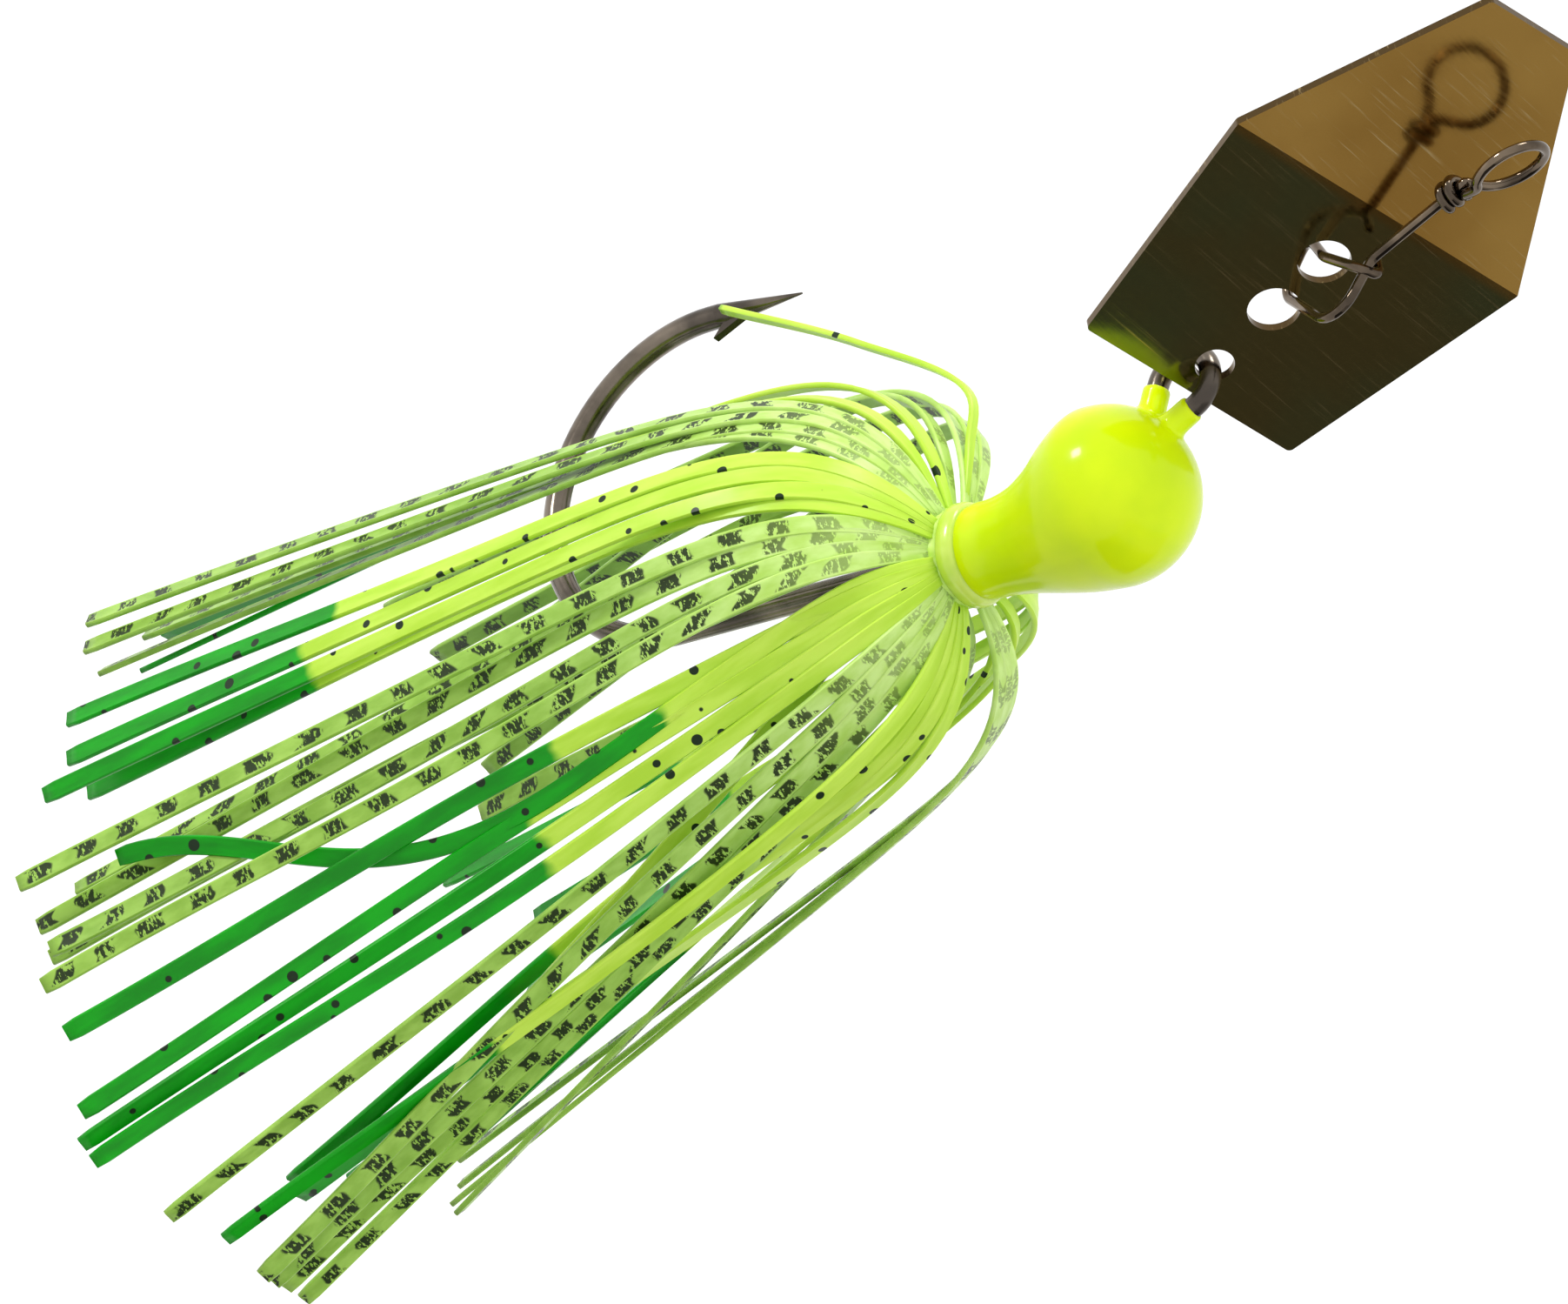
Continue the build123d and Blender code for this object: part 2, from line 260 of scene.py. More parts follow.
def apply_modifiers(thing):
    graph = bpy.context.evaluated_depsgraph_get()
    mesh = bpy.data.meshes.new_from_object(thing.evaluated_get(graph))
    thing.modifiers.clear()
    thing.data = mesh


# ---------------------------------------------------------------- material helpers
class Nodes:
    """Builds one material's node tree."""

    def __init__(self, name):
        self.material = bpy.data.materials.new(name)
        self.material.use_nodes = True
        self.tree = self.material.node_tree
        self.shader = self.tree.nodes["Principled BSDF"]

    def link(self, a, b):
        self.tree.links.new(a, b)

    def node(self, kind, **values):
        """A new node with those input values."""
        node = self.tree.nodes.new("ShaderNode" + kind)
        for name, value in values.items():
            node.inputs[name.replace("_", " ")].default_value = value
        return node

    def fixed(self, **values):
        """Sets the shader's own sockets."""
        for name, value in values.items():
            self.shader.inputs[name.replace("_", " ")].default_value = value

    def feed(self, socket, output):
        self.link(output, self.shader.inputs[socket])

    def coords(self, kind="Object"):
        return self.node("TexCoord").outputs[kind]

    def mapped(self, vector, **values):
        mapping = self.node("Mapping", **values)
        self.link(vector, mapping.inputs["Vector"])
        return mapping.outputs["Vector"]

    def noise(self, vector, scale, detail=3.0, roughness=0.5):
        """Noise. A pair of scales is for a strip: across it and along it."""
        if isinstance(scale, tuple):
            vector, scale = self.mapped(vector, Scale=(*scale, 1)), 1.0
        node = self.node("TexNoise", Scale=scale, Detail=detail, Roughness=roughness)
        self.link(vector, node.inputs["Vector"])
        return node.outputs["Fac"]

    def math(self, kind, a, b=0.0, c=0.0):
        node = self.node("Math")
        node.operation = kind
        for socket, value in zip(node.inputs, (a, b, c)):
            if isinstance(value, (int, float)):
                socket.default_value = value
            else:
                self.link(value, socket)
        return node.outputs[0]

    def dot(self, vector, way):
        node = self.node("VectorMath")
        node.operation = "DOT_PRODUCT"
        node.inputs[1].default_value = way
        self.link(vector, node.inputs[0])
        return node.outputs["Value"]

    def step(self, value, low, high):
        """0 below low, 1 above high, smooth between."""
        node = self.node("MapRange", From_Min=low, From_Max=high)
        node.interpolation_type = "SMOOTHSTEP"
        self.link(value, node.inputs["Value"])
        return node.outputs["Result"]

    def between(self, value, low, high):
        """The value's 0 to 1 mapped to low to high."""
        node = self.node("MapRange", To_Min=low, To_Max=high)
        self.link(value, node.inputs["Value"])
        return node.outputs["Result"]

    def mix(self, share, a, b):
        """Colour a where share is 0, colour b where it is 1."""
        node = self.node("Mix")
        node.data_type = "RGBA"
        for socket, value in ((node.inputs[0], share), (node.inputs[6], a), (node.inputs[7], b)):
            if isinstance(value, tuple):
                socket.default_value = value
            else:
                self.link(value, socket)
        return node.outputs[2]

    def attribute(self, name):
        node = self.node("Attribute")
        node.attribute_name = name
        return node.outputs["Vector"]

    def split(self, vector):
        """The vector's three numbers."""
        node = self.node("SeparateXYZ")
        self.link(vector, node.inputs[0])
        return node.outputs[0], node.outputs[1], node.outputs[2]

    def bump(self, height, strength, distance):
        node = self.node("Bump", Strength=strength, Distance=distance)
        self.link(height, node.inputs["Height"])
        self.feed("Normal", node.outputs["Normal"])


def colour(red, green, blue):
    """A linear colour from 0 to 255 display values."""
    def linear(value):
        value /= 255
        return value / 12.92 if value <= 0.04045 else ((value + 0.055) / 1.055) ** 2.4
    return (linear(red), linear(green), linear(blue), 1.0)


def finish_with(thing, material):
    thing.data.materials.clear()
    thing.data.materials.append(material)


# ---------------------------------------------------------------- metals
CLOUDY = (0.3, 0.7)                     # the part of a noise that turns one tone into another
PLATING_IOR = 2.2
FINER = 9                               # how much finer the grain is than the clouds
ROUGH_VARIES = (0.6, 1.5)               # the least and most roughness of a plated wire, for its own
BEND_ABOVE_BRIDGE = 6.3
BEND_SOFT = 0.4                         # half the width of the painted change from light to shade at the bend
BRUSH_TURN = 62                         # degrees
BRUSH_SCALE = (900, 60, 5200)
CLOUD_SCALE, GRIT_SCALE = 90, 2600      # per metre
SCRATCHED = (0.58, 0.8)
ROUGH_LEAST, ROUGH_SCRATCHES, ROUGH_GRIT = 0.02, 0.16, 0.08
GRIT_RELIEF = 0.35                      # of the scratches' height
SHEET_FACE = (0.3, 0.6)                 # how squarely a face looks out: the sheet's edge is below, and is painted dark as painted shade


def metal_material(name, dark, light, roughness, clouds):
    """Plated metal with a cloudy tone and a fine grain. clouds is the noise's scale, per metre."""
    n = Nodes(name)
    n.fixed(Metallic=1.0, IOR=PLATING_IOR)
    place = n.coords()
    tone = n.noise(place, clouds, 4.0)
    n.feed("Base Color", n.mix(n.step(tone, *CLOUDY), dark, light))
    fine = n.noise(place, clouds * FINER, 3.0)
    n.feed("Roughness", n.between(fine, *(roughness * share for share in ROUGH_VARIES)))
    n.bump(fine, strength=0.12, distance=0.00003)
    return n.material


def blade_material():
    """Plated sheet with brushed scratches, and painted light and shade: bronze and lighter above the
    bend, smoky green and darker below it, dark at the edges.
    """
    n = Nodes("blade_plating_and_painted_shade")
    n.fixed(Metallic=1.0)
    place = n.coords()
    brushed = n.mapped(place, Rotation=(math.radians(BRUSH_TURN), 0, 0), Scale=BRUSH_SCALE)
    scratches = n.noise(brushed, 1.0, 4.0, 0.6)
    cloudy = n.step(n.noise(place, CLOUD_SCALE, 3.0), *CLOUDY)
    grit = n.noise(place, GRIT_SCALE, 2.0)
    # Painted light and shade: the facet above the bend is painted a lighter bronze and the one below a
    # darker, greener tone, in place of the different reflections that the two facets show.
    lit_facet = n.mix(cloudy, colour(176, 138, 70), colour(156, 118, 56))
    shaded_facet = n.mix(cloudy, colour(126, 132, 84), colour(140, 124, 72))
    bend = bridge.dot(blade_up) + BEND_ABOVE_BRIDGE * MM
    above = n.step(n.dot(place, blade_up), bend - BEND_SOFT * MM, bend + BEND_SOFT * MM)
    # Painted shade: the sheet's edges, the faces that look away from blade_out, get a dark base colour
    # so that they reflect darkly.
    facing = n.math("ABSOLUTE", n.dot(n.coords("Normal"), blade_out))
    edge = colour(84, 66, 38)
    base = n.mix(n.step(facing, *SHEET_FACE), edge, n.mix(above, shaded_facet, lit_facet))
    n.feed("Base Color", n.mix(n.step(scratches, *SCRATCHED), base, colour(196, 172, 120)))
    rough = n.math("MULTIPLY_ADD", scratches, ROUGH_SCRATCHES, ROUGH_LEAST)
    n.feed("Roughness", n.math("MULTIPLY_ADD", grit, ROUGH_GRIT, rough))
    relief = n.math("MULTIPLY_ADD", grit, GRIT_RELIEF, scratches)
    n.bump(relief, strength=0.10, distance=0.00002)
    return n.material


# ---------------------------------------------------------------- paint and rubber
POOLED = (0.35, 0.7)


def paint_material():
    """Thick glossy paint, a little deeper where it pools, with a faint orange peel."""
    n = Nodes("chartreuse_paint")
    n.fixed(
        Roughness=0.2,
        Coat_Weight=0.2,
        Coat_Roughness=0.08,
        Specular_IOR_Level=0.14,
        Subsurface_Weight=0.25,
        Subsurface_Radius=(0.8, 1.0, 0.1),
        Subsurface_Scale=0.0012,
    )
    place = n.coords()
    pools = n.step(n.noise(place, 180, 3.0), *POOLED)
    n.feed("Base Color", n.mix(pools, colour(216, 240, 0), colour(202, 232, 0)))
    n.bump(n.noise(place, 420, 2.0), strength=0.12, distance=0.00012)
    return n.material


def band_material():
    """Translucent yellowish rubber."""
    n = Nodes("band_rubber")
    n.fixed(
        Roughness=0.22,
        Coat_Weight=0.4,
        Coat_Roughness=0.08,
        Subsurface_Weight=0.5,
        Subsurface_Radius=(1.0, 0.9, 0.3),
        Subsurface_Scale=0.0015,
    )
    cloud = n.noise(n.coords(), 500, 3.0)
    n.feed("Base Color", n.mix(n.step(cloud, *CLOUDY), colour(204, 230, 96), colour(186, 218, 66)))
    n.bump(cloud, strength=0.2, distance=0.0001)
    return n.material


# ---------------------------------------------------------------- silicone
BAR_PITCH = 3.0
BAR_HALF = (0.15, 0.31)                 # from the thinnest bar to the widest, in shares of the pitch
BAR_EDGE = 0.03                         # softness of a bar's edge, in shares of the pitch
BAR_REACH = (0.34, 0.46)                # a bar fades between these, out from the strip's middle
BAR_MARKS = (2.2, 4.6)                  # the marks that a bar is made of, per millimetre
INKED = (0.42, 0.47)
INK_GROWS = (3.0, 14.0)                 # along the strip
INK = (0.35, 0.95)                      # its strength before that and after
ROOT_TO_FAR = (5.0, 30.0)               # along the strip, where the root's tone changes

DIP_EDGE = (0.3, 1.1)                   # softness of the start of the green tip
DIP_WAVE = 1.2                          # and how much it wanders
FLECK_CELLS = 0.55                      # per millimetre
FLECK_VARIES, FLECK_LEAST = 0.16, 0.09  # in cells
FLECK_EDGE = 0.02

PEPPERED = (1.12, 1.16)
PEPPER_PATCHES = 0.8


def silicone(name, pattern):
    """Soft translucent silicone. Its meshes carry their own coordinates: millimetres across and along
    and a seed in "strip", and for cut strips millimetres from the tip and the green length in "tip"."""
    n = Nodes(name)
    n.fixed(
        Roughness=0.36,
        Specular_IOR_Level=0.22,
        Coat_Weight=0.05,
        Coat_Roughness=0.15,
        Subsurface_Weight=0.3,
        Subsurface_Radius=(0.9, 1.0, 0.5),
        Subsurface_Scale=0.0006,
    )
    strip = n.attribute("strip")
    n.feed("Base Color", pattern(n, strip))
    n.bump(n.noise(strip, 1.6, 3.0), strength=0.2, distance=0.00006)
    return n.material


def barred_pattern(n, strip):
    """Pearl green with bars of short dark marks, staggered from strip to strip."""
    across, along, seed = n.split(strip)
    mottle = n.step(n.noise(strip, (1.2, 0.5), 4.0), *CLOUDY)
    root = n.mix(mottle, colour(178, 214, 100), colour(200, 230, 138))
    far = n.mix(mottle, colour(136, 178, 66), colour(160, 200, 88))
    base = n.mix(n.step(along, *ROOT_TO_FAR), root, far)
    wander = n.noise(strip, (0.8, 0.1), 1.0)
    row = n.math("ADD", n.math("MULTIPLY_ADD", along, 1 / BAR_PITCH, wander), seed)
    off_bar = n.math("ABSOLUTE", n.math("SUBTRACT", n.math("FRACT", row), 0.5))
    half = n.between(n.noise(strip, (0.6, 0.3), 1.0), *BAR_HALF)
    past_bar = n.step(n.math("SUBTRACT", off_bar, half), -BAR_EDGE, BAR_EDGE)
    past_reach = n.step(n.math("ABSOLUTE", across), *BAR_REACH)
    inside = n.math(
        "MULTIPLY", n.math("SUBTRACT", 1.0, past_bar), n.math("SUBTRACT", 1.0, past_reach)
    )
    marks = n.step(n.noise(strip, BAR_MARKS, 2.0, 0.65), *INKED)
    strength = n.between(n.step(along, *INK_GROWS), *INK)
    inked = n.math("MULTIPLY", n.math("MULTIPLY", marks, inside), strength)
    return n.mix(inked, base, colour(8, 26, 6))


def speckled_pattern(n, strip):
    """Bright chartreuse with sparse round flecks, and a sharp change to green towards the tip."""
    mottle = n.step(n.noise(strip, (1.0, 0.2), 3.0), *CLOUDY)
    base = n.mix(mottle, colour(178, 218, 58), colour(198, 232, 86))
    green = n.mix(mottle, colour(0, 166, 10), colour(0, 136, 8))
    from_tip, green_length, _ = n.split(n.attribute("tip"))
    inside = n.math("SUBTRACT", green_length, from_tip)
    wave = n.noise(strip, (1.0, 0.5), 1.0)
    dipped = n.step(n.math("MULTIPLY_ADD", wave, DIP_WAVE, inside), *DIP_EDGE)
    cells = n.node("TexVoronoi", Scale=FLECK_CELLS)
    n.link(strip, cells.inputs["Vector"])
    vary = n.noise(strip, (0.3, 0.3), 1.0)
    size = n.math("MULTIPLY_ADD", vary, FLECK_VARIES, FLECK_LEAST)
    fleck = n.step(n.math("SUBTRACT", size, cells.outputs["Distance"]), 0.0, FLECK_EDGE)
    return n.mix(fleck, n.mix(dipped, base, green), colour(10, 36, 6))


def tab_pattern(n, strip):
    """Uncut roots: pale pearl with a pepper of dark green flecks."""
    mottle = n.step(n.noise(strip, (0.8, 0.8), 4.0), *CLOUDY)
    base = n.mix(mottle, colour(178, 222, 72), colour(204, 236, 120))
    pepper = n.noise(strip, (2.6, 2.6), 2.0, 0.7)
    patch = n.noise(strip, (0.22, 0.22), 1.0)
    level = n.math("MULTIPLY_ADD", patch, PEPPER_PATCHES, pepper)
    return n.mix(n.step(level, *PEPPERED), base, colour(30, 80, 22))


snap_finish = metal_material("snap_plating", colour(64, 56, 48), colour(118, 104, 88), 0.08, 260)
hook_finish = metal_material("black_nickel", colour(74, 68, 62), colour(122, 112, 100), 0.2, 300)
blade_plating_and_shade = blade_material()
paint_finish = paint_material()
band_finish = band_material()
barred_finish = silicone("barred_silicone", barred_pattern)
speckled_finish = silicone("speckled_silicone", speckled_pattern)
tab_finish = silicone("tab_silicone", tab_pattern)

# ---------------------------------------------------------------- snap
SNAP_WIRE_R = 0.315
EYE_R = 2.2
EYE_FACES = Vector((0.957, 0.291, 0.026))
LATCH_TIP = (1.30, 4.80, 1.35)
SNAP_CORNERS = [
    # a corner of the route, in millimetres from the bridge, and the radius of the bend there
    ((1.40, 4.70, 3.05), 0.5),
    ((0.10, 4.50, 3.15), 1.2),
    ((-0.75, 2.80, 1.00), 1.0),
    ((-0.70, 1.95, -1.70), 1.3),
    ((0.50, -1.75, -1.05), 0.9),
    ((0.15, 1.75, 5.60), 1.7),
    ((0.70, 5.00, 2.35), 0.9),
]
WRAP = (0.9, 11.64, 2.8)                # across, up and out from the bridge
WRAP_TURNS = 2.15
WRAP_R, WRAP_PITCH, WRAP_TOP = 0.64, 0.64, 0.62
SHANK_PAST_WRAP = 0.9
EYE_OPENS = 24                          # degrees to each side of the shank
EYE_STEPS, COIL_STEPS = 32, 40
EYE_LIFT = 1.05                         # how far each end of the ring is off its plane, in wire radii
CURVE_STEPS = 5
WIRE_STEP = 0.12
END_SHARE = 0.004                       # of the wire's length, rounded off at each end
END_R = 0.4                             # of the wire's radius, at its very end


def make_snap():
    """One wire: latch, both holes, shank, eye, and back down round the shank."""
    eye = Vector((0, 0, 0))
    wrap = on_blade(*WRAP)
    corners = [on_blade(*point) for point, _ in SNAP_CORNERS]
    radii = [radius for _, radius in SNAP_CORNERS]
    shank_way = (wrap - corners[-1]).normalized()
    wrap_top = wrap + shank_way * SHANK_PAST_WRAP * MM
    route = rounded([on_blade(*LATCH_TIP)] + corners + [wrap_top], radii)

    normal = EYE_FACES.normalized()
    toward = wrap - eye
    toward = (toward - normal * toward.dot(normal)).normalized()
    across = normal.cross(toward)
    ring = []
    for step in range(EYE_STEPS + 1):
        angle = math.radians(EYE_OPENS + (360 - 2 * EYE_OPENS) * step / EYE_STEPS)
        lift = normal * (SNAP_WIRE_R * EYE_LIFT * MM * (step / EYE_STEPS - 0.5) * 2)
        ring.append(eye + (toward * math.cos(angle) + across * math.sin(angle)) * EYE_R * MM + lift)

    arm = ring[-1] - wrap_top
    arm = (arm - shank_way * arm.dot(shank_way)).normalized()
    other = shank_way.cross(arm)
    coil = []
    for step in range(COIL_STEPS + 1):
        share = step / COIL_STEPS
        angle = 2 * math.pi * WRAP_TURNS * share
        height = WRAP_TOP - share * (WRAP_TURNS * WRAP_PITCH)
        out = (arm * math.cos(angle) + other * math.sin(angle)) * WRAP_R
        coil.append(wrap + (out + shank_way * height) * MM)

    line = spline([route[-1]] + ring[::2] + coil[1:], CURVE_STEPS)
    whole = spaced(route[:-1] + line, WIRE_STEP * MM)

    def thickness(share):
        edge = min(1, share / END_SHARE, (1 - share) / END_SHARE)
        return SNAP_WIRE_R * MM * (END_R + (1 - END_R) * (1 - (1 - edge) ** 2) ** 0.5)

    snap = tube("snap_wire", whole, thickness, sides=20)
    finish_with(snap, snap_finish)
    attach(snap, "snap")
    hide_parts("line_tie_snap")


# ---------------------------------------------------------------- skirt strands
# Azimuths run round the hub in degrees. A tip is given from the collar, as degrees from straight down,
# azimuth and reach in millimetres. curl is how far a strand runs out before it hangs, and green how
# long its green part is, both in millimetres.
STRAND_WIDE, STRAND_THICK = 1.12, 0.34
ROOT_R, ROOT_ALONG = 2.35, 0.5
STRAND_STEPS = 72
LEAN, LEAN_NEAR, LEAN_LEAST = 0.05, 0.3, -0.5  # how far strands lean back from the band as they leave
CURL_POWER = 1.6
DROOP_ABOUT = 0.45                      # the share of the way where droop changes sign
AIM_ROUNDS, AIM_GAIN = 14, 1.1          # the aim is corrected until the strand ends at its tip
FIRST_LENGTH = 1.05                     # of the straight line from root to tip
DOWN = Vector((0, 0, -1))


def round_hub(azimuth):
    """Unit vector square to the seat's axis. 0 is away from the point, 90 is +Y."""
    angle = math.radians(azimuth)
    return pointward * -math.cos(angle) + side * math.sin(angle)


def tip_point(theta, phi, reach):
    theta, phi = math.radians(theta), math.radians(phi)
    way = Vector((math.sin(theta) * math.cos(phi), math.sin(theta) * math.sin(phi), -math.cos(theta)))
    return collar + way * reach * MM


def strand_line(azimuth, layer, tip, droop, curl, sway):
    """A strand's centre line from the hub to its tip. It leaves outwards, leaning back from the band on
    the near side, curls over, and then hangs with a slight droop. sway bows it sideways."""
    root = collar + (round_hub(azimuth) * ROOT_R + forward * (ROOT_ALONG + layer)) * MM
    near = -math.sin(math.radians(azimuth))
    lean = LEAN + LEAN_NEAR * max(near, LEAN_LEAST)
    leave = (round_hub(azimuth) - forward * lean).normalized()
    aim = (tip - root).normalized()
    length = (tip - root).length * FIRST_LENGTH
    for _ in range(AIM_ROUNDS):
        bow = aim.cross(leave).normalized()
        point = root.copy()
        line = [point.copy()]
        for i in range(STRAND_STEPS):
            share = (i + 0.5) / STRAND_STEPS
            start = math.exp(-((share * length / (curl * MM)) ** CURL_POWER))
            way = aim + DOWN * (droop * (share - DROOP_ABOUT))
            way += bow * (sway * math.sin(share * math.pi * 2))
            way = (leave * start + way.normalized() * (1 - start)).normalized()
            point = point + way * (length / STRAND_STEPS)
            line.append(point.copy())
        aim = (aim + (tip - point) / length * AIM_GAIN).normalized()
        length += (tip - root).length - (point - root).length
    return line


def smooth(share):
    """0 to 1 with a soft start and end."""
    share = min(1.0, max(0.0, share))
    return share * share * (3 - 2 * share)


SECTION = [
    # half widths and half thicknesses, round the strip: both faces are slightly hollow
    (-1, -0.5), (-0.88, -1), (0, -0.9), (0.88, -1), (1, -0.5),
    (1, 0.5), (0.88, 1), (0, 0.9), (-0.88, 1), (-1, 0.5),
]
CORNERS = (1, 3, 6, 8)                  # where the section's faces end, which stay sharp
TIP_BEVEL, TIP_WIDTH = 0.25, 0.86       # the cut end's length, and its share of the strip's width
ROOT_WIDENS, ROOT_WIDTH = 6.5, 0.5      # a strip widens this far from its root, from this share
TWIST_POWER = 1.5


def ribbon(name, line, wide, first_across, twist, seed, green):
    """A flat strip with bevelled edges, and its own coordinates for the pattern. It twists by that many
    degrees on the way to its tip."""
    bm = bmesh.new()
    strip = bm.verts.layers.float_vector.new("strip")
    tip = bm.verts.layers.float_vector.new("tip")
    heading = (line[1] - line[0]).normalized()
    across = (first_across - heading * first_across.dot(heading)).normalized()
    total = len(line) - 1
    lengths = [0.0]
    for a, b in zip(line, line[1:]):
        lengths.append(lengths[-1] + (b - a).length / MM)
    rings = []
    for i, point in enumerate(line):
        turned = (line[min(i + 1, total)] - line[max(i - 1, 0)]).normalized()
        across = heading.rotation_difference(turned) @ across
        heading = turned
        angle = math.radians(twist) * (i / total) ** TWIST_POWER
        wide_way = across * math.cos(angle) + heading.cross(across) * math.sin(angle)
        thick_way = heading.cross(wide_way)
        left = lengths[-1] - lengths[i]
        narrow = 1.0 if left > TIP_BEVEL else TIP_WIDTH
        narrow *= ROOT_WIDTH + (1 - ROOT_WIDTH) * smooth(lengths[i] / ROOT_WIDENS)
        ring = []
        for a, b in SECTION:
            arm = wide_way * a * wide * narrow + thick_way * b * STRAND_THICK
            v = bm.verts.new(point + arm * 0.5 * MM)
            v[strip] = Vector((a * wide / 2, lengths[i], seed))
            v[tip] = Vector((left, green, 0))
            ring.append(v)
        rings.append(ring)
    return skin(name, bm, rings, CORNERS)


# Of the 46 tips' directions, 17 are within a degree of what a scratch script made of the tips' places
# in the photo and a strand's length of 57 mm, and 13 more are within 3 degrees of it. The first
# azimuths and the curls were picked after a second script had searched for good ones.
TABS = [
    # kind, azimuth of the first root, layer, droop, curl, green, [(theta, phi, reach) of each tip]
    ("barred", -138, 0.0, 0.2, 10.5, 0,
     [(28.4, -155, 57), (26.8, -154, 57), (25.5, -158, 57), (27.8, -162, 55)]),
    ("speckled", -112, 0.2, 0.1, 10.5, 19,
     [(22.6, -146, 57), (20.4, -143, 57), (19.4, -128, 57), (18.2, -148, 57)]),
    ("barred", -87, 0.0, 0.1, 10.5, 0,
     [(22.5, -91, 57), (19.5, -88, 57), (18.5, -83, 57), (23.0, -72, 57.5)]),
    ("speckled", -61, 0.2, 0.0, 5.5, 33,
     [(22.7, -89, 51), (22.8, -64, 57.5), (22.1, -53, 59), (21.9, -49, 60), (22, -46, 60)]),
    ("barred", -29, 0.1, -0.05, 6.0, 0,
     [(22.6, -33, 58.5), (22.7, -16, 57), (21.4, -12, 57), (20.2, -7, 57)]),
    ("speckled", -3, 0.0, -0.06, 8.0, 20,
     [(22, -24, 57), (9, 45, 57), (8.5, 55, 57), (12, 78, 57)]),
    ("barred", 42, 0.2, 0.0, 8.0, 0, [(19.5, 84, 57), (20.3, 89, 57), (20.8, 95, 57)]),
    ("speckled", 95, 0.0, 0.1, 8.0, 20, [(31, 120, 57), (34, 127, 57), (30, 136, 57)]),
    ("barred", 168, 0.1, 0.2, 11.0, 0, [(36, 143, 55), (38.5, 155, 55), (38, 163, 54)]),
    # the inner layer, one strand at a time
    ("speckled", -162, -0.3, 0.3, 11.0, 22, [(29, -172, 57)]),
    ("speckled", -151, -0.4, 0.2, 10.5, 20, [(26, -165, 56)]),
    ("barred", -112, -0.9, 0.1, 6.0, 0, [(15, -112, 56)]),
    ("barred", -74, -0.9, 0.0, 5.0, 0, [(21, -80, 56.5)]),
    ("speckled", -45, -0.9, 0.0, 4.0, 24, [(16, 0, 56)]),
    ("speckled", -6, -0.9, 0.0, 4.0, 22, [(8, 50, 57)]),
    ("barred", 14, -0.9, 0.0, 4.0, 0, [(20, -2, 57)]),
    ("barred", 38, -0.9, 0.0, 4.0, 0, [(19, 78, 56)]),
    ("speckled", 70, -0.9, 0.0, 5.0, 20, [(19.5, 92, 55)]),
    ("speckled", 84, -0.5, 0.0, 6.5, 24, [(22, 100, 57)]),
    ("barred", 132, -0.5, 0.2, 9.0, 0, [(33, 140, 54)]),
    ("barred", -172, -0.5, 0.3, 11.0, 0, [(36, 153, 52)]),
]
ROOT_STEP = 6.0                         # degrees from root to root of a tab
STRAY = ("speckled", 5)                 # the strand that leaves its tab on the way
STRAY_LIKE = (22.1, -53, 59)            # the tip of the strand that it follows until then
STRAY_LEAVES = 0.42                     # the share of the way where it starts to leave
SWAY = 0.05
WIDTH_VARIES = 0.06
GREEN_VARIES = 0.08
TWIST = 20                              # degrees, either way
SEEDS = 40


def make_strand(kind, number, azimuth, layer, tip, droop, green, curl):
    """One strand, in place of its CAD solid."""
    sway = rng.uniform(-SWAY, SWAY)
    line = strand_line(azimuth, layer, tip, droop, curl, sway)
    if (kind, number) == STRAY:
        usual = strand_line(azimuth, layer, tip_point(*STRAY_LIKE), droop, curl, sway)
        for i, (a, b) in enumerate(zip(usual, line)):
            left = smooth((i / (len(line) - 1) - STRAY_LEAVES) / (1 - STRAY_LEAVES))
            line[i] = a.lerp(b, left)
    tangent = forward.cross(round_hub(azimuth))
    wide = STRAND_WIDE * rng.uniform(1 - WIDTH_VARIES, 1 + WIDTH_VARIES)
    node = f"{kind}_strand_{number:02d}"
    twist, seed = rng.uniform(-TWIST, TWIST), rng.uniform(0, SEEDS)
    piece = ribbon(f"{kind}_strip_{number:02d}", line, wide, tangent, twist, seed, green)
    finish_with(piece, barred_finish if kind == "barred" else speckled_finish)
    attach(piece, "jig")
    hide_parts(node)


def make_skirt():
    count = {"barred": 0, "speckled": 0}
    for kind, first, layer, droop, curl, green, tips in TABS:
        for i, (theta, phi, reach) in enumerate(tips):
            count[kind] += 1
            length = green * rng.uniform(1 - GREEN_VARIES, 1 + GREEN_VARIES)
            azimuth = first + i * ROOT_STEP
            tip = tip_point(theta, phi, reach)
            make_strand(kind, count[kind], azimuth, layer, tip, droop, length, curl)


LOOSE_ROOT = -177                       # azimuth
LOOSE_RISE = (7.4, 0.4, 0.0)            # pointward, forward and along +Y from the collar
LOOSE_BULGE = (10.6, 0.2, -0.2)
LOOSE_TIP = (-29.6, 18.9, -1.25)        # in the hook's frame
LOOSE_BOW = 0.9                         # how far it bows up on its way from the bulge to the tip
LOOSE_CURVE_STEPS, LOOSE_STEP = 16, 0.5
LOOSE_WIDE, LOOSE_TWIST, LOOSE_SEED = 0.62, 20, 5.0


def make_loose_strand():
    """The stray strand that reaches across to the hook's point."""
    tip = on_jig(*LOOSE_TIP)
    start = collar + (round_hub(LOOSE_ROOT) * ROOT_R + forward * ROOT_ALONG) * MM
    bulge = off_collar(*LOOSE_BULGE)
    middle = bulge.lerp(tip, 0.5) - DOWN * LOOSE_BOW * MM
    route = spline([start, off_collar(*LOOSE_RISE), bulge, middle, tip], LOOSE_CURVE_STEPS)
    line = spaced(route, LOOSE_STEP * MM)
    piece = ribbon("loose_strip", line, LOOSE_WIDE, side, LOOSE_TWIST, LOOSE_SEED, green=0)
    finish_with(piece, speckled_finish)
    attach(piece, "jig")
    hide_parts("loose_strand")


